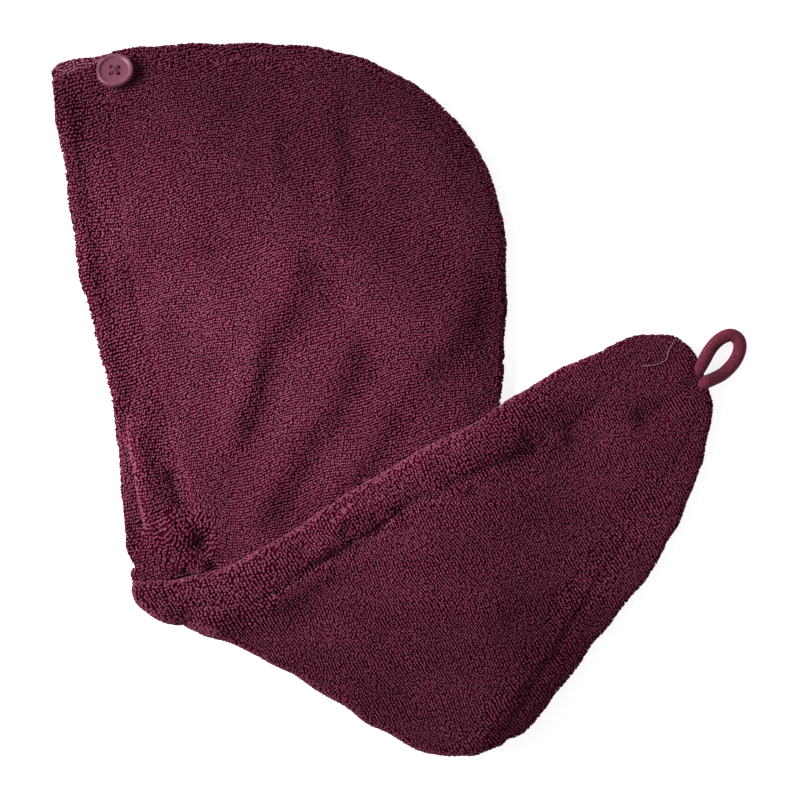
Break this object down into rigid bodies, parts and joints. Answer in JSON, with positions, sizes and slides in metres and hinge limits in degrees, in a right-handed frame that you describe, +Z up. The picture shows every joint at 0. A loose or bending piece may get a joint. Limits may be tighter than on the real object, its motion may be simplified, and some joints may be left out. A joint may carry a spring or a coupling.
{
  "type": "hair towel",
  "caption": "Terry hair towel lying flat: an open hemmed hood with a long tail folded up across it, a button at the nape corner and an elastic loop at the tail's tip.",
  "frame": {"origin": "on the floor, under the middle of the towel's box, with the hanging loop left out", "axes": "+Z up from the floor, +Y from the tail's fold to the hood's crown, +X from the hood's opening to the tail's tip"},
  "size_m": [0.3863, 0.3932, 0.0309],
  "materials": {
    "terry": "cotton terry with uncut loops",
    "hem_cloth": "turned edge of the same terry",
    "button_plastic": "moulded, polished",
    "sewing_thread": "twisted polyester",
    "loop_elastic": "finely knitted round elastic"
  },
  "bodies": {
    "root": {"upper_panel": "terry", "under_panel": "terry", "upper_hem": "hem_cloth", "under_hem": "hem_cloth", "button": "button_plastic", "button_thread": "sewing_thread", "hanging_loop": "loop_elastic"}
  },
  "joints": []
}
